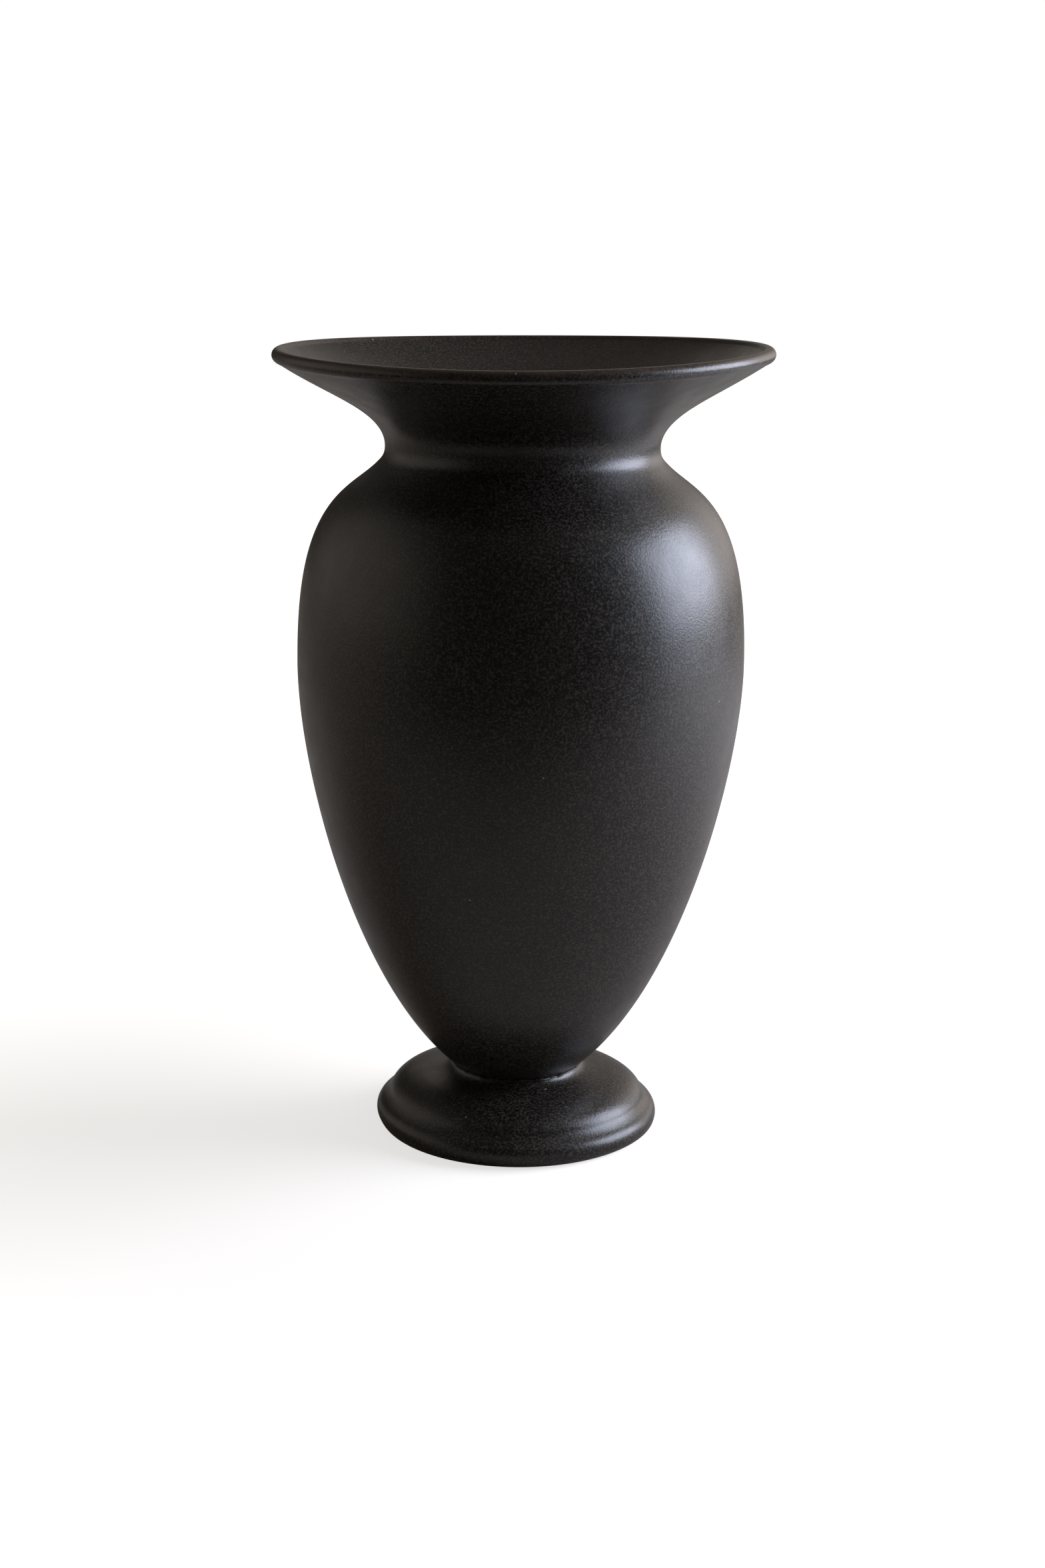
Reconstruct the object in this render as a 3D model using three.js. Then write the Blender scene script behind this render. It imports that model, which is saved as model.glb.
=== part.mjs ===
import * as THREE from 'three';

// Heights, stacked from the table up, in millimetres
const footHeight = 24.2; // table to the seat for the body
const slipThickness = 0.8; // luted joint between two clay parts
const bellyRise = 159; // foot of the body to its widest point
const shoulderRise = 74.6; // widest point to the collar joint
const collarRise = 6; // collar joint to the narrowest point of the neck
const flareRise = 34.6; // narrowest point to the top of the lip

// Radii
const edgeRadius = 55; // half-round edge of the foot, at its widest
const domeRadius = 50.3; // where the domed top springs from that edge
const crestRadius = 38; // where the dome levels out
const waistRadius = 24.8; // top of the foot, under the body
const bellyRadius = 84.4;
const jointRadius = 54.6; // open top of the shoulder
const neckRadius = 51.2;
const lipRadius = 92.5;

// Foot
const edgeRoll = 5.2; // radius of the half-round edge
const edgeRollHeight = 5; // table to the middle of that edge
const creaseHeight = 10.2; // shallow groove between edge and dome
const crestDrop = 4.1; // seat for the body to the crest of the dome
const standingRing = 4.7; // width of the flat that touches the table
const ringRounding = 1.3; // inner edge of that flat
const hollowRoof = 9.7; // clay left between the hollow underside and the seat

// Walls
const bodyWall = 5;
const floorThickness = 7;
const floorRounding = 12; // height over which the floor turns into the wall
const neckWall = 5;
const lipWall = 4.6;

// Lip, slopes in degrees above the level, and slip
const lipRoll = 2.6; // radius of the rolled lip
const lipOverhang = 2.4; // middle of the roll to the underside of the flare
const bodySlope = 40; // body where it leaves the foot
const shoulderSlope = 45; // shoulder and collar where they meet
const flareSlope = 34; // flare under the lip
const crestSlope = 14; // dome at its crest, rising towards the axis
const creaseSlope = 80; // dome where it springs from the crease
const waistSlope = 70; // dome where it meets the slip
const slipBulge = 0.3; // how far the squeezed slip rounds out at its edge

// Fullness of each curve: how far it keeps the direction it starts or ends with
const footCurve = { creaseOut: 3.4, crestIn: 10.5, crestOut: 4.2, waistIn: 3.6 };
const bodyCurve = { baseOut: 51.7, bellyIn: 38.5, bellyOut: 62.2, topIn: 15.4 };
const collarCurve = { baseOut: 2.4, neckIn: 2.9, neckOut: 13, lipIn: 20.3 };
const hollowCurve = { roofOut: 34, edgeIn: 8 };

const radialSteps = 48;
const curveSteps = 8;
const lipSteps = 4;

const baseHeight = footHeight + slipThickness;
const bellyHeight = baseHeight + bellyRise;
const shoulderTop = bellyHeight + shoulderRise;
const collarBase = shoulderTop + slipThickness;
const neckHeight = collarBase + collarRise;
const lipTop = neckHeight + flareRise;

const point = (radius, height) => new THREE.Vector2(radius, height);

// A step of the given length at a slope in degrees, where 0 is outwards and 90 is up
function step(slope, length) {
  const angle = THREE.MathUtils.degToRad(slope);
  return point(Math.cos(angle), Math.sin(angle)).multiplyScalar(length);
}

// The same, but rising towards the axis
function stepIn(slope, length) {
  return step(180 - slope, length);
}

// A curve that leaves its start and reaches its end in the given directions
function curve(start, startStep, end, endStep) {
  const startPull = start.clone().add(startStep);
  const endPull = end.clone().sub(endStep);
  return new THREE.CubicBezierCurve(start, startPull, endPull, end).getPoints(curveSteps);
}

function arc(middle, radius, fromAngle, toAngle, steps) {
  return new THREE.EllipseCurve(middle.x, middle.y, radius, radius, fromAngle, toAngle).getPoints(steps);
}

// The same line moved square to itself, into the pot, by a wall that tapers evenly along it
function innerFace(line, firstWall, lastWall) {
  return line.map((place, index) => {
    const before = line[Math.max(index - 1, 0)];
    const after = line[Math.min(index + 1, line.length - 1)];
    const way = after.clone().sub(before).normalize();
    const wall = THREE.MathUtils.lerp(firstWall, lastWall, index / (line.length - 1));
    return place.clone().add(point(-way.y, way.x).multiplyScalar(wall));
  });
}

// Turns an outline about the vase's axis, without the points that two of its stretches share
function turned(outline) {
  const profile = outline.filter((place, index) => index === 0 || place.distanceTo(outline[index - 1]) > 1e-4);
  return new THREE.LatheGeometry(profile, radialSteps).rotateX(Math.PI / 2);
}

function clay(name, outline, color, roughness) {
  const mesh = new THREE.Mesh(turned(outline), new THREE.MeshStandardMaterial({ color, roughness, metalness: 0 }));
  mesh.name = name;
  return mesh;
}

// Low pedestal: half-round edge, crease, dome and waist, over a hollow underside
function footOutline() {
  const rollMiddle = point(edgeRadius - edgeRoll, edgeRollHeight);
  const rollReach = Math.sqrt(Math.max(edgeRoll ** 2 - edgeRollHeight ** 2, 0));
  const crease = point(domeRadius, creaseHeight);
  const crest = point(crestRadius, footHeight - crestDrop);
  const seat = point(waistRadius, footHeight);
  const ringInner = rollMiddle.x + rollReach - standingRing;
  const hollowEdge = point(ringInner - ringRounding, ringRounding);
  const hollowTop = point(0, footHeight - hollowRoof);
  const lowAngle = Math.atan2(-edgeRollHeight, rollReach);
  const highAngle = Math.atan2(crease.y - rollMiddle.y, crease.x - rollMiddle.x);
  return [
    ...curve(hollowTop, step(0, hollowCurve.roofOut), hollowEdge, step(-90, hollowCurve.edgeIn)),
    point(ringInner, 0),
    ...arc(rollMiddle, edgeRoll, lowAngle, highAngle, curveSteps),
    ...curve(crease, stepIn(creaseSlope, footCurve.creaseOut), crest, stepIn(crestSlope, footCurve.crestIn)),
    ...curve(crest, stepIn(crestSlope, footCurve.crestOut), seat, stepIn(waistSlope, footCurve.waistIn)),
    point(0, footHeight),
  ];
}

// Disc of slip that holds the foot to the body, rounded out a little at its edge
function footJointOutline() {
  return [
    point(0, footHeight),
    point(waistRadius, footHeight),
    point(waistRadius + slipBulge, footHeight + slipThickness / 2),
    point(waistRadius, baseHeight),
    point(0, baseHeight),
  ];
}

const bodyLine = [
  ...curve(point(waistRadius, baseHeight), step(bodySlope, bodyCurve.baseOut),
    point(bellyRadius, bellyHeight), step(90, bodyCurve.bellyIn)),
  ...curve(point(bellyRadius, bellyHeight), step(90, bodyCurve.bellyOut),
    point(jointRadius, shoulderTop), stepIn(shoulderSlope, bodyCurve.topIn)).slice(1),
];
// The shoulder's wall ends square to the axis, on the slip
const jointInner = jointRadius - bodyWall / Math.sin(THREE.MathUtils.degToRad(shoulderSlope));

// Ovoid vessel, closed by a floor, open at the top of the shoulder
function bodyOutline() {
  const floorTop = baseHeight + floorThickness;
  const wallInside = innerFace(bodyLine, bodyWall, bodyWall)
    .filter((place) => place.y > floorTop + floorRounding && place.y < shoulderTop - bodyWall / 2);
  const floorTurn = wallInside[0];
  const wallWay = wallInside[1].clone().sub(floorTurn);
  const floorPull = point(floorTurn.x - (floorTurn.y - floorTop) * wallWay.x / wallWay.y, floorTop);
  const floor = new THREE.QuadraticBezierCurve(floorTurn, floorPull, point(0, floorTop)).getPoints(curveSteps);
  return [
    point(0, baseHeight),
    ...bodyLine,
    point(jointInner, shoulderTop),
    ...wallInside.reverse(),
    ...floor,
  ];
}

const collarStart = point(jointRadius - slipThickness / Math.tan(THREE.MathUtils.degToRad(shoulderSlope)), collarBase);
const collarInner = collarStart.x - (jointRadius - jointInner);

// Ring of slip between shoulder and collar, in line with both
function collarJointOutline() {
  const outline = [
    point(jointInner, shoulderTop),
    point(jointRadius, shoulderTop),
    collarStart,
    point(collarInner, collarBase),
  ];
  return [...outline, outline[0]];
}

// Neck with a wide flare and a rolled lip
function collarOutline() {
  const rollMiddle = point(lipRadius - lipRoll, lipTop - lipRoll);
  const rollReach = Math.sqrt(Math.max(lipRoll ** 2 - lipOverhang ** 2, 0));
  const flare = THREE.MathUtils.degToRad(flareSlope);
  const flareEnd = rollMiddle.clone()
    .add(step(flareSlope - 90, lipOverhang))
    .sub(step(flareSlope, rollReach));
  const neck = point(neckRadius, neckHeight);
  const lowAngle = Math.atan2(flareEnd.y - rollMiddle.y, flareEnd.x - rollMiddle.x);
  const outside = [
    ...curve(collarStart, stepIn(shoulderSlope, collarCurve.baseOut), neck, step(90, collarCurve.neckIn)),
    ...curve(neck, step(90, collarCurve.neckOut), flareEnd, step(flareSlope, collarCurve.lipIn)).slice(1),
  ];
  const inside = innerFace(outside, neckWall, lipWall)
    .filter((place) => place.y > collarBase + neckWall / 2);
  const outline = [
    point(collarInner, collarBase),
    ...outside,
    ...arc(rollMiddle, lipRoll, lowAngle, Math.PI / 2 + flare, lipSteps * 2),
    ...inside.reverse(),
  ];
  return [...outline, outline[0]];
}

const vase = new THREE.Group();
vase.add(
  clay('foot', footOutline(), 0x171615, 0.42),
  clay('foot_joint_slip', footJointOutline(), 0x1d1a18, 0.5),
  clay('body', bodyOutline(), 0x171615, 0.4),
  clay('collar_joint_slip', collarJointOutline(), 0x181615, 0.42),
  clay('collar', collarOutline(), 0x171615, 0.4),
);

export default vase;
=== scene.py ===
from math import atan2, cos, pi, radians, sin, sqrt, tan

import bpy
from mathutils import Euler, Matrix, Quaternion, Vector


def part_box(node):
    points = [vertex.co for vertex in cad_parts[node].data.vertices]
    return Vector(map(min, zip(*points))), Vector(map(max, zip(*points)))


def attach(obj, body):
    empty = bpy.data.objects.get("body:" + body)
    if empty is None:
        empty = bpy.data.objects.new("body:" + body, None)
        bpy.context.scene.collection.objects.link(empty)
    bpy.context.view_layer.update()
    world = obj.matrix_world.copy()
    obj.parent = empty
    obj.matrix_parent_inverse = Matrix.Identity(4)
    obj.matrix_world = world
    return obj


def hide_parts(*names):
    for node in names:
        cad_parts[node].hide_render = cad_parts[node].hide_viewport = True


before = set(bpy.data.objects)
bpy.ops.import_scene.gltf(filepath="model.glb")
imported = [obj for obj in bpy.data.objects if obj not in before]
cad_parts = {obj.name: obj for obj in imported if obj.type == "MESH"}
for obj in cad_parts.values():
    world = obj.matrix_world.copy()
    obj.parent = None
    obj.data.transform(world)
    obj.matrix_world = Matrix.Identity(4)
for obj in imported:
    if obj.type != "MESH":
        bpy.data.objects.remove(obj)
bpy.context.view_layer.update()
print("frame loaded:", ", ".join(sorted(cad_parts)))

mm = 0.001


def addNode(tree, kind, inputs=None, **settings):
    # one node with its settings, its values and what is linked into it
    node = tree.nodes.new(kind)
    for name, value in settings.items():
        setattr(node, name, value)
    for name, value in (inputs or {}).items():
        if isinstance(value, bpy.types.NodeSocket):
            tree.links.new(value, node.inputs[name])
        else:
            node.inputs[name].default_value = value
    return node


def linear(hexColour):
    # sRGB hex to the linear values that shaders take
    parts = [int(hexColour[i:i + 2], 16) / 255 for i in (1, 3, 5)]
    return [c / 12.92 if c <= 0.04045 else ((c + 0.055) / 1.055) ** 2.4 for c in parts] + [1.0]


# Outlines are in millimetres, radius and height, up the outside and back down the inside

def stride(slope, length):  # slope in degrees: 0 is outwards, 90 is up
    return Vector((cos(radians(slope)), sin(radians(slope)))) * length


def strideIn(slope, length):  # the same, but rising towards the axis
    return stride(180 - slope, length)


def curve(start, startStride, end, endStride, steps):
    startPull, endPull = start + startStride, end - endStride
    points = []
    for i in range(steps + 1):
        t = i / steps
        s = 1 - t
        points.append(start * s ** 3 + startPull * 3 * s * s * t + endPull * 3 * s * t * t + end * t ** 3)
    return points


def arc(middle, radius, fromAngle, toAngle, steps):
    turns = [fromAngle + (toAngle - fromAngle) * i / steps for i in range(steps + 1)]
    return [middle + Vector((cos(a), sin(a))) * radius for a in turns]


def straight(start, end, steps):
    return [start.lerp(end, i / steps) for i in range(steps + 1)]


def innerFace(line, firstWall, lastWall):
    # the same line moved square to itself, into the pot, by a wall that tapers evenly
    moved = []
    for i, place in enumerate(line):
        way = (line[min(i + 1, len(line) - 1)] - line[max(i - 1, 0)]).normalized()
        wall = firstWall + (lastWall - firstWall) * i / (len(line) - 1)
        moved.append(place + Vector((-way.y, way.x)) * wall)
    return moved


def smooth(low, high, value):  # 0 at low, 1 at high, easing in and out
    t = min(max((value - low) / (high - low), 0), 1)
    return t * t * (3 - 2 * t)


# The wheel: turns an outline round the axis, with the small faults of a thrown pot
wheel = {
    "Turn Steps": 256,
    "Unevenness": 0.2 * mm,  # how far the wall wanders in and out
    "Wander Size": 70 * mm,  # up the wall, from one slight swelling to the next
    "Wander Round": 1.0,  # how much finer it is round the wall
    "Saddle": 0.0,  # sides up, front and back down
    "Tilt": 0.0,  # rise for each metre to the right
    "Seed": 4.0,
    "Lift": 0.0,  # all round
    "Weld": 0.001 * mm,
    "Sharp Bend": radians(40),  # edges that bend more are drawn sharp
}
outlineMarks = ("wobble", "warp", "thinGlaze", "bareClay")  # shares from 0 to 1, kept on each outline point


def makeWheelTree():
    tree = bpy.data.node_groups.new("turned on the wheel", "GeometryNodeTree")
    face = tree.interface
    face.new_socket("Outline", in_out="INPUT", socket_type="NodeSocketGeometry")
    face.new_socket("Turned", in_out="OUTPUT", socket_type="NodeSocketGeometry")
    for name, value in wheel.items():
        kind = "NodeSocketInt" if isinstance(value, int) else "NodeSocketFloat"
        face.new_socket(name, in_out="INPUT", socket_type=kind)
    for name in ("Glaze", "Bare Clay"):
        face.new_socket(name, in_out="INPUT", socket_type="NodeSocketMaterial")
    given = addNode(tree, "NodeGroupInput").outputs

    def maths(operation, *values):
        return addNode(tree, "ShaderNodeMath", dict(enumerate(values)), operation=operation).outputs[0]

    # a grid with one column for each step of the turn and one row for each point of the outline
    points = addNode(tree, "GeometryNodeAttributeDomainSize", {"Geometry": given["Outline"]},
                     component="MESH").outputs["Point Count"]
    grid = addNode(tree, "GeometryNodeMeshGrid", {
        "Vertices X": maths("ADD", given["Turn Steps"], 1.0), "Vertices Y": points})
    index = addNode(tree, "GeometryNodeInputIndex").outputs[0]
    column = maths("FLOOR", maths("DIVIDE", maths("ADD", index, 0.5), points))
    row = maths("SUBTRACT", index, maths("MULTIPLY", column, points))
    angle = maths("MULTIPLY", maths("DIVIDE", column, given["Turn Steps"]), 2 * pi)
    sine, cosine = maths("SINE", angle), maths("COSINE", angle)

    def fromOutline(value, dataType):
        return addNode(tree, "GeometryNodeSampleIndex", {
            "Geometry": given["Outline"], "Value": value, "Index": row}, data_type=dataType).outputs[0]

    marks = {}
    for mark in outlineMarks:
        stored = addNode(tree, "GeometryNodeInputNamedAttribute", {"Name": mark}, data_type="FLOAT")
        marks[mark] = fromOutline(stored.outputs["Attribute"], "FLOAT")
    drawn = fromOutline(addNode(tree, "GeometryNodeInputPosition").outputs[0], "FLOAT_VECTOR")
    outline = addNode(tree, "ShaderNodeSeparateXYZ", {0: drawn}).outputs

    # the wall wanders in and out, inside and outside alike
    where = addNode(tree, "ShaderNodeCombineXYZ", {
        "X": maths("MULTIPLY", cosine, given["Wander Round"]), "Y": maths("MULTIPLY", sine, given["Wander Round"]),
        "Z": maths("DIVIDE", outline["Z"], given["Wander Size"])}).outputs[0]
    wander = addNode(tree, "ShaderNodeTexNoise", {
        "Vector": where, "W": given["Seed"], "Scale": 1.0, "Detail": 1.5}, noise_dimensions="4D").outputs[0]
    signed = maths("MULTIPLY_ADD", wander, 2.0, -1.0)
    radius = maths("MULTIPLY_ADD", signed, maths("MULTIPLY", marks["wobble"], given["Unevenness"]), outline["X"])

    # the saddle, the tilt and the lift raise what is marked as warped
    across, away = maths("MULTIPLY", radius, cosine), maths("MULTIPLY", radius, sine)
    saddle = maths("MULTIPLY_ADD", maths("COSINE", maths("MULTIPLY", angle, 2.0)), given["Saddle"], given["Lift"])
    lift = maths("MULTIPLY_ADD", across, given["Tilt"], saddle)
    height = maths("MULTIPLY_ADD", lift, marks["warp"], outline["Z"])
    turned = addNode(tree, "ShaderNodeCombineXYZ", {"X": across, "Y": away, "Z": height}).outputs[0]
    shape = addNode(tree, "GeometryNodeSetPosition", {"Geometry": grid.outputs["Mesh"], "Position": turned})
    for mark in ("thinGlaze", "bareClay"):
        shape = addNode(tree, "GeometryNodeStoreNamedAttribute", {
            "Geometry": shape.outputs[0], "Name": mark, "Value": marks[mark]}, data_type="FLOAT", domain="POINT")

    welded = addNode(tree, "GeometryNodeMergeByDistance", {"Geometry": shape.outputs[0], "Distance": given["Weld"]})
    rounded = addNode(tree, "GeometryNodeSetShadeSmooth", {"Geometry": welded.outputs[0]})
    bend = addNode(tree, "GeometryNodeInputMeshEdgeAngle").outputs["Unsigned Angle"]
    creased = addNode(tree, "GeometryNodeSetShadeSmooth", {
        "Geometry": rounded.outputs[0], "Selection": maths("GREATER_THAN", bend, given["Sharp Bend"]),
        "Shade Smooth": False}, domain="EDGE")
    real = addNode(tree, "GeometryNodeRealizeInstances", {"Geometry": creased.outputs[0]})
    glazed = addNode(tree, "GeometryNodeSetMaterial", {"Geometry": real.outputs[0], "Material": given["Glaze"]})
    bare = addNode(tree, "GeometryNodeInputNamedAttribute", {"Name": "bareClay"}, data_type="FLOAT")
    wiped = addNode(tree, "GeometryNodeSetMaterial", {
        "Geometry": glazed.outputs[0], "Selection": maths("GREATER_THAN", bare.outputs["Attribute"], 0.5),
        "Material": given["Bare Clay"]})
    addNode(tree, "NodeGroupOutput", {"Turned": wiped.outputs[0]})
    return tree


wheelTree = makeWheelTree()
print("wheel tree built:", len(wheelTree.nodes), "nodes")


def turnPiece(name, outline, marksAt, glaze, bareClay=None, **changes):
    # the outline becomes a string of points that carries its marks
    kept = [p for i, p in enumerate(outline) if i == 0 or (p - outline[i - 1]).length > 1e-4]
    mesh = bpy.data.meshes.new(name)
    mesh.from_pydata([(p.x * mm, 0, p.y * mm) for p in kept], [(i, i + 1) for i in range(len(kept) - 1)], [])
    for mark in outlineMarks:
        values = [marksAt(p).get(mark, 0.0) for p in kept]
        mesh.attributes.new(mark, "FLOAT", "POINT").data.foreach_set("value", values)
    piece = bpy.data.objects.new(name + "Outline", mesh)
    bpy.context.scene.collection.objects.link(piece)
    modifier = piece.modifiers.new("wheel", "NODES")
    modifier.node_group = wheelTree
    settings = dict(wheel, **changes, **{"Glaze": glaze, "Bare Clay": bareClay or glaze})
    for socket in wheelTree.interface.items_tree:
        if socket.in_out == "INPUT" and socket.name in settings:
            modifier[socket.identifier] = settings[socket.name]
    bpy.context.view_layer.update()
    made = bpy.data.meshes.new_from_object(piece.evaluated_get(bpy.context.evaluated_depsgraph_get()))
    piece.modifiers.remove(modifier)
    bpy.data.objects.remove(piece)
    made.name = name
    done = bpy.data.objects.new(name, made)
    bpy.context.scene.collection.objects.link(done)
    print(name, "turned:", len(made.polygons), "faces")
    return done


# Satin black stoneware glaze, dipped: a soft, broad gloss, a fine grain of crystals,
# and a brown break where it ran thin over an edge
glazeLooks = {
    "colour": "#0b0a09", "cloud": "#110f0e", "fleck": "#443d36", "thin": "#4b3a2d", "speck": "#a9a49b",
    "cloudSize": 30 * mm, "grainSize": 0.8 * mm,  # crystals are about 0.2 mm, drawn coarser so that they show
    "grainDepth": 0.07 * mm, "grainRough": 0.05,
    "ripple": 9 * mm, "rippleDepth": 0.025 * mm, "speckGap": 16 * mm, "speckRadius": 0.28 * mm,
    "leastWorn": 0.25,  # the brown break is patchy, and nowhere below this share
    "roughLow": 0.32, "roughHigh": 0.38, "ior": 1.5,
}
noiseSpan = {"From Min": 0.3, "From Max": 0.7}  # where nearly all of a noise texture's values lie
flecksOnly = {"From Min": 0.45, "From Max": 0.7}  # its upper half


def makeGlaze(name, looks):
    material = bpy.data.materials.new(name)
    material.use_nodes = True
    tree = material.node_tree
    shader = tree.nodes["Principled BSDF"]
    where = addNode(tree, "ShaderNodeTexCoord").outputs["Object"]
    cloud = addNode(tree, "ShaderNodeTexNoise", {"Vector": where, "Scale": 1 / looks["cloudSize"], "Detail": 3.0})
    grain = addNode(tree, "ShaderNodeTexNoise", {"Vector": where, "Scale": 1 / looks["grainSize"], "Detail": 2.0})
    ripple = addNode(tree, "ShaderNodeTexNoise", {"Vector": where, "Scale": 1 / looks["ripple"], "Detail": 1.0})

    mixed = addNode(tree, "ShaderNodeMapRange", {"Value": cloud.outputs[0], **noiseSpan})
    colour = addNode(tree, "ShaderNodeMix", {0: mixed.outputs[0], 6: linear(looks["colour"]),
                                             7: linear(looks["cloud"])}, data_type="RGBA").outputs[2]
    flecked = addNode(tree, "ShaderNodeMapRange", {"Value": grain.outputs[0], **flecksOnly})
    colour = addNode(tree, "ShaderNodeMix", {0: flecked.outputs[0], 6: colour, 7: linear(looks["fleck"])},
                     data_type="RGBA").outputs[2]
    thin = addNode(tree, "ShaderNodeAttribute", attribute_name="thinGlaze").outputs["Fac"]
    patchy = addNode(tree, "ShaderNodeMapRange", {"Value": ripple.outputs[0], **noiseSpan,
                                                  "To Min": looks["leastWorn"], "To Max": 1.0}).outputs[0]
    worn = addNode(tree, "ShaderNodeMath", {0: thin, 1: patchy}, operation="MULTIPLY").outputs[0]
    colour = addNode(tree, "ShaderNodeMix", {0: worn, 6: colour, 7: linear(looks["thin"])},
                     data_type="RGBA").outputs[2]
    pins = addNode(tree, "ShaderNodeTexVoronoi", {"Vector": where, "Scale": 1 / looks["speckGap"]})
    speck = addNode(tree, "ShaderNodeMath", {0: pins.outputs["Distance"],
                                             1: looks["speckRadius"] / looks["speckGap"]},
                    operation="LESS_THAN").outputs[0]
    colour = addNode(tree, "ShaderNodeMix", {0: speck, 6: colour, 7: linear(looks["speck"])},
                     data_type="RGBA").outputs[2]
    broad = addNode(tree, "ShaderNodeMapRange", {"Value": ripple.outputs[0], **noiseSpan,
                                                 "To Min": looks["roughLow"], "To Max": looks["roughHigh"]})
    fine = addNode(tree, "ShaderNodeMapRange", {"Value": grain.outputs[0], **noiseSpan,
                                                "To Min": -looks["grainRough"], "To Max": looks["grainRough"]})
    rough = addNode(tree, "ShaderNodeMath", {0: broad.outputs[0], 1: fine.outputs[0]}, operation="ADD")
    wavy = addNode(tree, "ShaderNodeBump", {"Height": ripple.outputs[0], "Distance": looks["rippleDepth"]})
    bump = addNode(tree, "ShaderNodeBump", {"Height": grain.outputs[0], "Distance": looks["grainDepth"],
                                            "Normal": wavy.outputs[0]})
    tree.links.new(colour, shader.inputs["Base Color"])
    tree.links.new(rough.outputs[0], shader.inputs["Roughness"])
    tree.links.new(bump.outputs[0], shader.inputs["Normal"])
    shader.inputs["IOR"].default_value = looks["ior"]
    return material


# Bare stoneware, wiped clean of glaze and fired: matt, brown-grey, with the drag of the sponge and fine grog
clayLooks = {"colour": "#5a4738", "dark": "#33281f", "grog": 0.6 * mm, "grogDepth": 0.1 * mm,
             "cloudSize": 12 * mm, "rough": 0.82}


def makeBareClay(name, looks):
    material = bpy.data.materials.new(name)
    material.use_nodes = True
    tree = material.node_tree
    shader = tree.nodes["Principled BSDF"]
    where = addNode(tree, "ShaderNodeTexCoord").outputs["Object"]
    cloud = addNode(tree, "ShaderNodeTexNoise", {"Vector": where, "Scale": 1 / looks["cloudSize"], "Detail": 4.0})
    grog = addNode(tree, "ShaderNodeTexNoise", {"Vector": where, "Scale": 1 / looks["grog"], "Detail": 3.0})
    colour = addNode(tree, "ShaderNodeMix", {0: cloud.outputs[0], 6: linear(looks["dark"]),
                                             7: linear(looks["colour"])}, data_type="RGBA").outputs[2]
    bump = addNode(tree, "ShaderNodeBump", {"Height": grog.outputs[0], "Distance": looks["grogDepth"]})
    tree.links.new(colour, shader.inputs["Base Color"])
    tree.links.new(bump.outputs[0], shader.inputs["Normal"])
    shader.inputs["Roughness"].default_value = looks["rough"]
    return material


satinGlaze = makeGlaze("satin black stoneware glaze, dipped", glazeLooks)
slipGlaze = makeGlaze("satin black glaze over luting slip",
                      dict(glazeLooks, cloud="#1c1815", ripple=3 * mm, roughLow=0.36, roughHigh=0.5))
bareStoneware = makeBareClay("bare stoneware, wiped and fired", clayLooks)
print("materials made:", satinGlaze.name, "|", slipGlaze.name, "|", bareStoneware.name)


# What every piece shares: where the clay parts meet, from the frame

def heights(node):
    low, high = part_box(node)
    return low[2] / mm, high[2] / mm


footTop = heights("foot")[1]
bodyBase, shoulderTop = heights("body")
collarBase, lipTop = heights("collar")
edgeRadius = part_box("foot")[1][0] / mm
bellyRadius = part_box("body")[1][0] / mm
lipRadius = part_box("collar")[1][0] / mm
joints = {"waistRadius": 24.8, "jointRadius": 54.6, "shoulderSlope": 45, "slipSpread": 0.9}


# Foot: half-round edge, crease, dome and waist, over a hollow underside with a bare standing ring
foot = {
    "domeRadius": 50.3, "creaseHeight": 10.2, "crestRadius": 38, "crestDrop": 4.1,
    "edgeRoll": 5.2, "edgeRollHeight": 5, "standingRing": 4.7, "ringRounding": 1.3, "hollowRoof": 9.7,
    "creaseSlope": 80, "crestSlope": 14, "waistSlope": 70,
    "creaseOut": 3.4, "crestIn": 10.5, "crestOut": 4.2, "waistIn": 3.6, "roofOut": 34, "edgeIn": 8, "ringOut": 0.7,
    # the wiped groove runs from this many degrees up the roll to this height on the dome
    "rollEnd": 56, "domeStart": 12.8, "grooveOut": 1.4,
    "outsideFrom": 45,  # radius past which the glaze is wiped and breaks to brown
    "bareTo": 0.9, "brownTo": 2.2, "brown": 0.9,
    "tilt": -0.013, "tiltFrom": 28, "tiltAt": 44,  # the edge rises and falls; the seat stays level
    "flatTo": 0.2, "freeFrom": 3,  # heights: the standing ring is true, and the rest wanders
}


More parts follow.
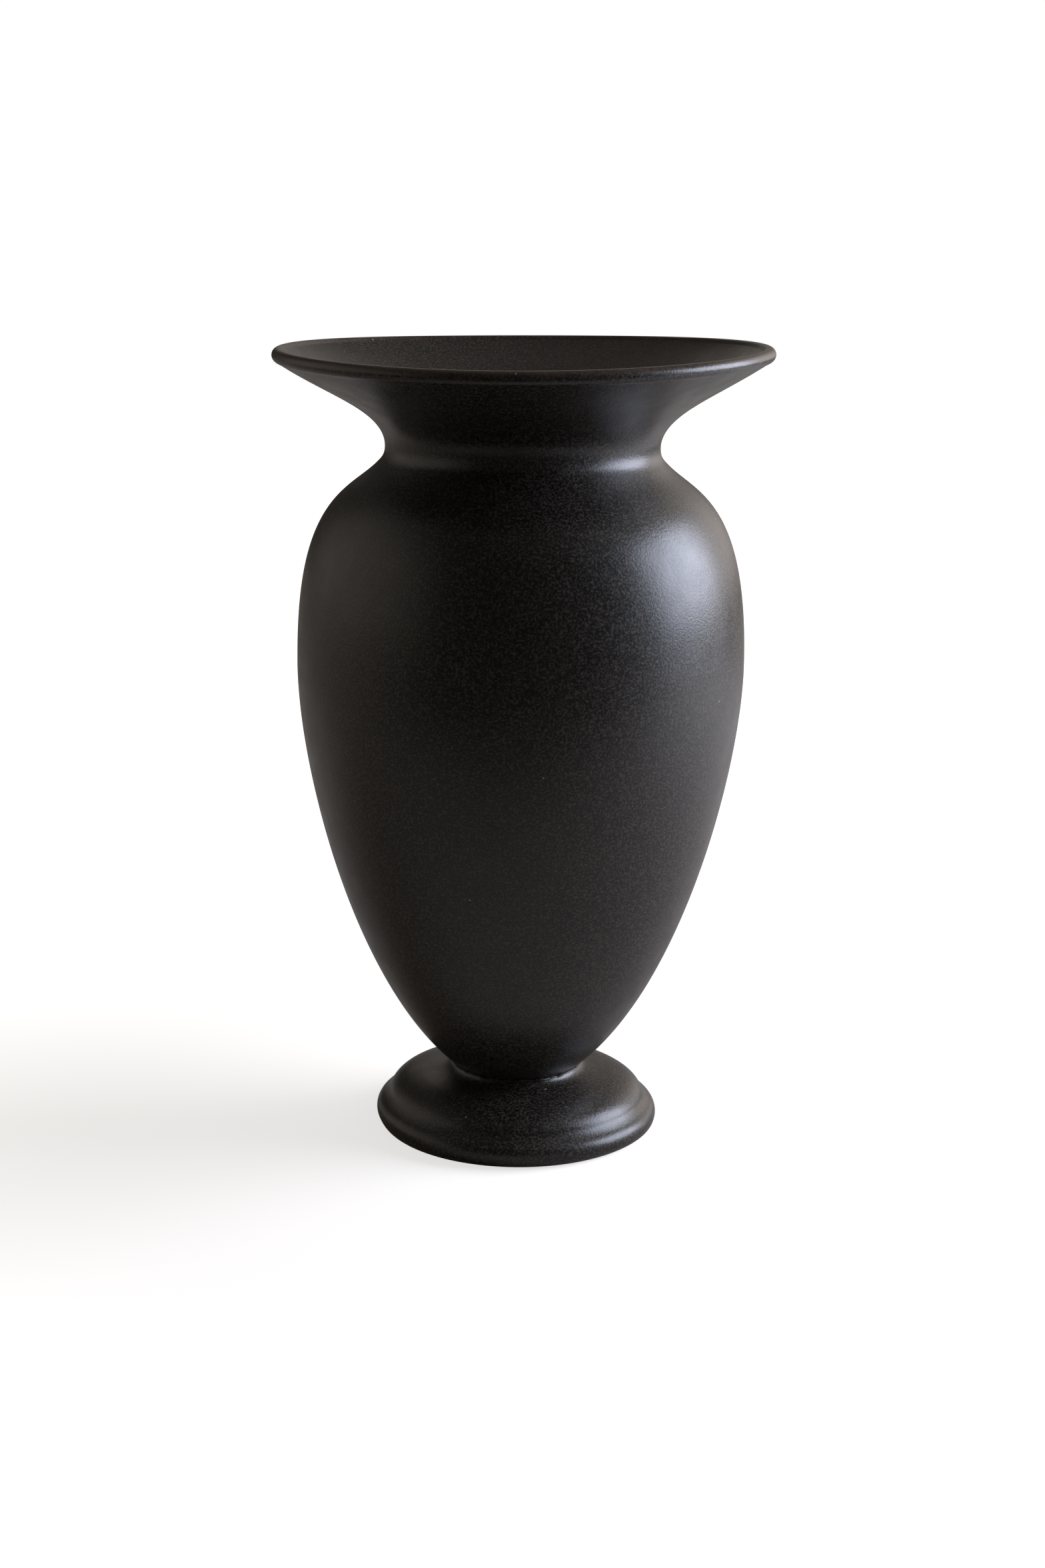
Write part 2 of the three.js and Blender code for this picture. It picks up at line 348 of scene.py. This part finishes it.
def footOutline(f):
    rollMiddle = Vector((edgeRadius - f["edgeRoll"], f["edgeRollHeight"]))
    rollReach = sqrt(f["edgeRoll"] ** 2 - f["edgeRollHeight"] ** 2)
    crease = Vector((f["domeRadius"], f["creaseHeight"]))
    crest = Vector((f["crestRadius"], footTop - f["crestDrop"]))
    seat = Vector((joints["waistRadius"], footTop))
    ringOuter = Vector((rollMiddle.x + rollReach, 0))
    ringInner = Vector((ringOuter.x - f["standingRing"], 0))
    hollowEdge = ringInner + Vector((-f["ringRounding"], f["ringRounding"]))
    hollowTop = Vector((0, footTop - f["hollowRoof"]))
    rollLow = atan2(-f["edgeRollHeight"], rollReach)
    roll = arc(rollMiddle, f["edgeRoll"], rollLow, radians(f["rollEnd"]), 26)
    dome = curve(crease, strideIn(f["creaseSlope"], f["creaseOut"]),
                 crest, strideIn(f["crestSlope"], f["crestIn"]), 28)
    dome = [p for p in dome if p.y > f["domeStart"]]
    groove = curve(roll[-1], strideIn(90 - f["rollEnd"], f["grooveOut"]),
                   dome[0], (dome[1] - dome[0]).normalized() * f["grooveOut"], 12)
    return (curve(hollowTop, stride(0, f["roofOut"]), hollowEdge, stride(-90, f["edgeIn"]), 32)
            + curve(hollowEdge, stride(-90, f["ringOut"]), ringInner, stride(0, f["ringOut"]), 6)
            + straight(ringInner, ringOuter, 4)
            + roll + groove[1:-1] + dome
            + curve(crest, strideIn(f["crestSlope"], f["crestOut"]),
                    seat, strideIn(f["waistSlope"], f["waistIn"]), 20)
            + straight(seat, Vector((0, footTop)), 10))


def footMarks(place):
    outside = place.x > foot["outsideFrom"] and place.y < foot["creaseHeight"]
    return {
        "warp": smooth(foot["tiltFrom"], foot["tiltAt"], place.x) * smooth(0, foot["freeFrom"], place.y),
        "wobble": smooth(foot["flatTo"], foot["freeFrom"], place.y),
        "bareClay": 1.0 if outside and place.y < foot["bareTo"] else 0.0,
        "thinGlaze": foot["brown"] * (1 - smooth(foot["bareTo"], foot["brownTo"], place.y)) if outside else 0.0,
    }


footPiece = turnPiece("turnedFoot", footOutline(foot), footMarks, satinGlaze, bareStoneware, Tilt=foot["tilt"])


# Slip under the body: a thin disc whose squeezed edge was never quite smoothed
footJoint = {
    "bulge": 0.8, "lap": 0.5, "inset": 1.2, "steps": 12,
    "unevenness": 1.4 * mm, "wanderSize": 9 * mm, "wanderRound": 5.0, "seed": 11.0,  # lumps about 10 mm long
    "wanderFrom": 20, "wanderAt": 24,  # radii: the edge wanders, not the seat
}


def footJointOutline(j):
    # rounded from a little under the foot's top to a little over the body's base
    low, high = footTop - j["lap"], bodyBase + j["lap"]
    inner = joints["waistRadius"] - j["inset"]
    bulge = []
    for i in range(j["steps"] + 1):
        share = i / j["steps"]
        bulge.append(Vector((inner + (j["inset"] + j["bulge"]) * sin(pi * share), low + (high - low) * share)))
    return straight(Vector((0, low)), bulge[0], 6) + bulge + straight(bulge[-1], Vector((0, high)), 6)


footJointPiece = turnPiece(
    "squeezedSlip", footJointOutline(footJoint),
    lambda place: {"wobble": smooth(footJoint["wanderFrom"], footJoint["wanderAt"], place.x)}, slipGlaze,
    **{"Unevenness": footJoint["unevenness"], "Wander Size": footJoint["wanderSize"],
       "Wander Round": footJoint["wanderRound"], "Seed": footJoint["seed"]})


# Body: ovoid vessel with a closed floor, open at the top of the shoulder
body = {
    "bellyHeight": 184, "wall": 5, "floor": 7, "floorRounding": 12, "baseSlope": 40,
    "baseOut": 51.7, "bellyIn": 38.5, "bellyOut": 62.2, "topIn": 15.4,
    "trueFor": 20,  # height over which the wall comes free of the foot and starts to wander
}


def bodyOutline(b):
    base = Vector((joints["waistRadius"], bodyBase))
    belly = Vector((bellyRadius, b["bellyHeight"]))
    top = Vector((joints["jointRadius"], shoulderTop))
    slope = joints["shoulderSlope"]
    outside = (curve(base, stride(b["baseSlope"], b["baseOut"]), belly, stride(90, b["bellyIn"]), 70)
               + curve(belly, stride(90, b["bellyOut"]), top, strideIn(slope, b["topIn"]), 60)[1:])
    rimInner = Vector((top.x - b["wall"] / sin(radians(slope)), shoulderTop))
    floorTop = bodyBase + b["floor"]
    inside = [p for p in innerFace(outside, b["wall"], b["wall"])
              if floorTop + b["floorRounding"] < p.y < shoulderTop - b["wall"] / 2]
    turn, way = inside[0], inside[1] - inside[0]
    corner = Vector((turn.x - (turn.y - floorTop) * way.x / way.y, floorTop))
    floorMiddle = Vector((0, floorTop))
    floor = curve(turn, (corner - turn) * 2 / 3, floorMiddle, (floorMiddle - corner) * 2 / 3, 30)
    return (straight(Vector((0, bodyBase)), base, 8) + outside + [rimInner] + inside[::-1] + floor)


bodyPiece = turnPiece(
    "thrownBody", bodyOutline(body),
    lambda place: {"wobble": smooth(bodyBase, bodyBase + body["trueFor"], place.y)}, satinGlaze)


# Collar and the slip under it: one smooth line with the shoulder, then a wide flare and a rolled lip
collar = {
    "neckRadius": 51.2, "neckRise": 6, "neckWall": 5, "lipWall": 4.6,
    "lipRoll": 2.6, "lipOverhang": 2.4, "flareSlope": 34,
    "baseOut": 2.4, "neckIn": 2.9, "neckOut": 13, "lipIn": 20.3,
    "saddle": 1.0 * mm, "tilt": 0.0105, "lift": 1.1 * mm,  # the rim warped a little in the firing
    "warpFrom": 268, "warpAt": 294,  # heights: none at the neck, all of it at the rim
    "brownFrom": 3.2, "brownAt": 1.2, "brown": 0.55,  # below the top of the lip, and how far it breaks to brown
    "brownOutside": 86, "brownFull": 90,  # radii
}
collarStart = Vector((joints["jointRadius"] - (collarBase - shoulderTop) / tan(radians(joints["shoulderSlope"])),
                      collarBase))
jointWall = body["wall"] / sin(radians(joints["shoulderSlope"]))
collarInner = collarStart - Vector((jointWall, 0))


def collarOutline(c):
    rollMiddle = Vector((lipRadius - c["lipRoll"], lipTop - c["lipRoll"]))
    rollReach = sqrt(c["lipRoll"] ** 2 - c["lipOverhang"] ** 2)
    flareEnd = rollMiddle + stride(c["flareSlope"] - 90, c["lipOverhang"]) - stride(c["flareSlope"], rollReach)
    neck = Vector((c["neckRadius"], collarBase + c["neckRise"]))
    lowAngle = atan2(flareEnd.y - rollMiddle.y, flareEnd.x - rollMiddle.x)
    outside = (curve(collarStart, strideIn(joints["shoulderSlope"], c["baseOut"]), neck, stride(90, c["neckIn"]), 16)
               + curve(neck, stride(90, c["neckOut"]), flareEnd, stride(c["flareSlope"], c["lipIn"]), 70)[1:])
    inside = [p for p in innerFace(outside, c["neckWall"], c["lipWall"]) if p.y > collarBase + c["neckWall"] / 2]
    lip = arc(rollMiddle, c["lipRoll"], lowAngle, pi / 2 + radians(c["flareSlope"]), 28)
    return [collarInner] + outside + lip + inside[::-1] + [collarInner]


def collarMarks(place):
    high = smooth(lipTop - collar["brownFrom"], lipTop - collar["brownAt"], place.y)
    outer = smooth(collar["brownOutside"], collar["brownFull"], place.x)
    return {
        "wobble": 1.0,
        "warp": smooth(collar["warpFrom"], collar["warpAt"], place.y),
        "thinGlaze": collar["brown"] * high * outer,
    }


collarPiece = turnPiece("flaredCollar", collarOutline(collar), collarMarks, satinGlaze,
                        Saddle=collar["saddle"], Tilt=collar["tilt"], Lift=collar["lift"])

jointRimInner = Vector((joints["jointRadius"] - jointWall, shoulderTop))
jointRimOuter = Vector((joints["jointRadius"], shoulderTop))
collarJointPiece = turnPiece(
    "smoothedSlip",
    straight(jointRimInner, jointRimOuter, 4) + straight(jointRimOuter, collarStart, 2)
    + straight(collarStart, collarInner, 4) + [jointRimInner],
    lambda place: {"wobble": 1.0}, satinGlaze)

for piece, node, slot in (
        (footPiece, "foot", "satin_black_glaze"),
        (footJointPiece, "foot_joint_slip", "glazed_slip"),
        (bodyPiece, "body", "satin_black_glaze"),
        (collarPiece, "collar", "satin_black_glaze"),
        (collarJointPiece, "collar_joint_slip", "glazed_slip")):
    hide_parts(node)
    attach(piece, "root")
print("pieces ride on root and replace their nodes")


# Pale studio: a floor, a wide window light from the right, and a dim room with soft glows of its own.
# Turns are degrees round the vase from the camera's side towards the right; rises are degrees above the level.
studio = {
    "floorHalf": 3.0, "floorDrop": 0.05 * mm,  # a hair under the vase, so that the two share no plane
    "floorNearShade": "#c4bdb3", "floorAway": "#e0d9ce", "floorFrontShade": "#615d58",  # painted shade: the paper is darker near the vase and darkest in front, paler away, as the gloss sees it
    "nearReach": 0.15, "farReach": 0.55, "floorRough": 0.9,
    "floorWhite": 0.7,  # what the camera sees besides the light on the floor
    "window": {"turn": 95, "rise": 19.5, "distance": 1.15, "size": (0.84, 0.7), "power": 22, "colour": "#e2eaff"},
    "roomLight": 0.05, "roomColour": "#fff4ea",
    "glows": (  # full within the first angle from its middle, none past the second, in degrees
        {"turn": -94, "rise": 2, "level": 0.48, "full": 12, "none": 56},  # wall on the left
        {"turn": 128, "rise": 6, "level": 1.6, "full": 4, "none": 42},  # behind the window
        {"turn": 88, "rise": 45, "level": 0.12, "full": 8, "none": 38},  # above the window
        {"turn": 150, "rise": 70, "level": 0.15, "full": 12, "none": 60},  # ceiling
        {"turn": 179, "rise": 18, "level": 0.4, "full": 5, "none": 20},  # backdrop
    ),
}


def directionOf(turn, rise=0):
    flat = cos(radians(rise))
    return Vector((sin(radians(turn)) * flat, -cos(radians(turn)) * flat, sin(radians(rise))))


def softLight(name, settings):
    lamp = bpy.data.lights.new(name, "AREA")
    lamp.shape = "RECTANGLE"
    lamp.size, lamp.size_y = settings["size"]
    lamp.energy = settings["power"]
    lamp.color = linear(settings["colour"])[:3]
    light = bpy.data.objects.new(name, lamp)
    target = Vector((0, 0, lipTop * mm / 2))
    way = directionOf(settings["turn"], settings["rise"])
    light.location = target + way * settings["distance"]
    light.rotation_euler = way.to_track_quat("Z", "Y").to_euler()
    bpy.context.scene.collection.objects.link(light)


def makeFloor(s):
    half, level = s["floorHalf"], -s["floorDrop"]
    corners = [(-half, -half, level), (half, -half, level), (half, half, level), (-half, half, level)]
    mesh = bpy.data.meshes.new("paleFloor")
    mesh.from_pydata(corners, [], [(0, 1, 2, 3)])
    floor = bpy.data.objects.new("paleFloor", mesh)
    bpy.context.scene.collection.objects.link(floor)
    material = bpy.data.materials.new("pale matt paper")
    material.use_nodes = True
    tree = material.node_tree
    shader = tree.nodes["Principled BSDF"]
    where = addNode(tree, "ShaderNodeTexCoord").outputs["Object"]
    reach = addNode(tree, "ShaderNodeVectorMath", {0: where}, operation="LENGTH").outputs["Value"]
    front = addNode(tree, "ShaderNodeSeparateXYZ", {0: where}).outputs["Y"]
    near, wide = s["nearReach"], s["farReach"]
    far = addNode(tree, "ShaderNodeMapRange", {"Value": reach, "From Min": near, "From Max": wide},
                  interpolation_type="SMOOTHSTEP").outputs[0]
    shaded = addNode(tree, "ShaderNodeMapRange", {"Value": front, "From Min": -near, "From Max": -wide},
                     interpolation_type="SMOOTHSTEP").outputs[0]
    # painted shade: the paper's colour darkens near the vase and most on the camera's side, so that the gloss
    # reflects shade there
    paper = addNode(tree, "ShaderNodeMix", {0: far, 6: linear(s["floorNearShade"]), 7: linear(s["floorAway"])},
                    data_type="RGBA").outputs[2]
    paper = addNode(tree, "ShaderNodeMix", {0: shaded, 6: paper, 7: linear(s["floorFrontShade"])},
                    data_type="RGBA").outputs[2]
    tree.links.new(paper, shader.inputs["Base Color"])
    shader.inputs["Roughness"].default_value = s["floorRough"]
    # the camera sees the paper near white, with the vase's shadow still on it, and no edge in the distance
    isCamera = addNode(tree, "ShaderNodeLightPath").outputs["Is Camera Ray"]
    lift = addNode(tree, "ShaderNodeMapRange", {"Value": far, "To Min": s["floorWhite"], "To Max": 1.0}).outputs[0]
    white = addNode(tree, "ShaderNodeMath", {0: isCamera, 1: lift}, operation="MULTIPLY").outputs[0]
    tree.links.new(white, shader.inputs["Emission Strength"])
    shader.inputs["Emission Color"].default_value = (1, 1, 1, 1)
    mesh.materials.append(material)


def makeWorld(s):
    # white where the camera looks past the floor; elsewhere the dim room with its glows
    world = bpy.data.worlds.new("pale studio")
    world.use_nodes = True
    tree = world.node_tree
    back = tree.nodes["Background"]
    direction = addNode(tree, "ShaderNodeTexCoord").outputs["Generated"]
    level = s["roomLight"]
    for glow in s["glows"]:
        towards = addNode(tree, "ShaderNodeVectorMath", {0: direction, 1: directionOf(glow["turn"], glow["rise"])},
                          operation="DOT_PRODUCT").outputs["Value"]
        soft = addNode(tree, "ShaderNodeMapRange", {"Value": towards, "From Min": cos(radians(glow["none"])),
                                                    "From Max": cos(radians(glow["full"]))},
                       interpolation_type="SMOOTHSTEP").outputs[0]
        level = addNode(tree, "ShaderNodeMath", {0: soft, 1: glow["level"], 2: level},
                        operation="MULTIPLY_ADD").outputs[0]
    isCamera = addNode(tree, "ShaderNodeLightPath").outputs["Is Camera Ray"]
    strength = addNode(tree, "ShaderNodeMath", {0: level, 1: isCamera}, operation="MAXIMUM").outputs[0]
    tree.links.new(strength, back.inputs["Strength"])
    tint = addNode(tree, "ShaderNodeMix", {0: isCamera, 6: linear(s["roomColour"]), 7: (1, 1, 1, 1)},
                   data_type="RGBA").outputs[2]
    tree.links.new(tint, back.inputs["Color"])
    bpy.context.scene.world = world


makeFloor(studio)
makeWorld(studio)
softLight("windowLight", studio["window"])
print("studio lit")


# Camera: where the photograph was taken from, with the vase at the height given to it
shot = {"place": (0.0012, -0.931, 0.3665), "pitch": 13.9, "roll": 0.6, "lens": 57.4, "filmLongSide": 36}
camera = bpy.data.objects.new("camera", bpy.data.cameras.new("camera"))
bpy.context.scene.collection.objects.link(camera)
camera.data.sensor_width = shot["filmLongSide"]
camera.data.lens = shot["lens"]
camera.location = shot["place"]
camera.rotation_mode = "QUATERNION"
camera.rotation_quaternion = (Euler((radians(90 - shot["pitch"]), 0, 0)).to_quaternion()
                              @ Quaternion((0, 0, 1), radians(shot["roll"])))
bpy.context.scene.camera = camera
bpy.context.scene.view_settings.view_transform = "Standard"
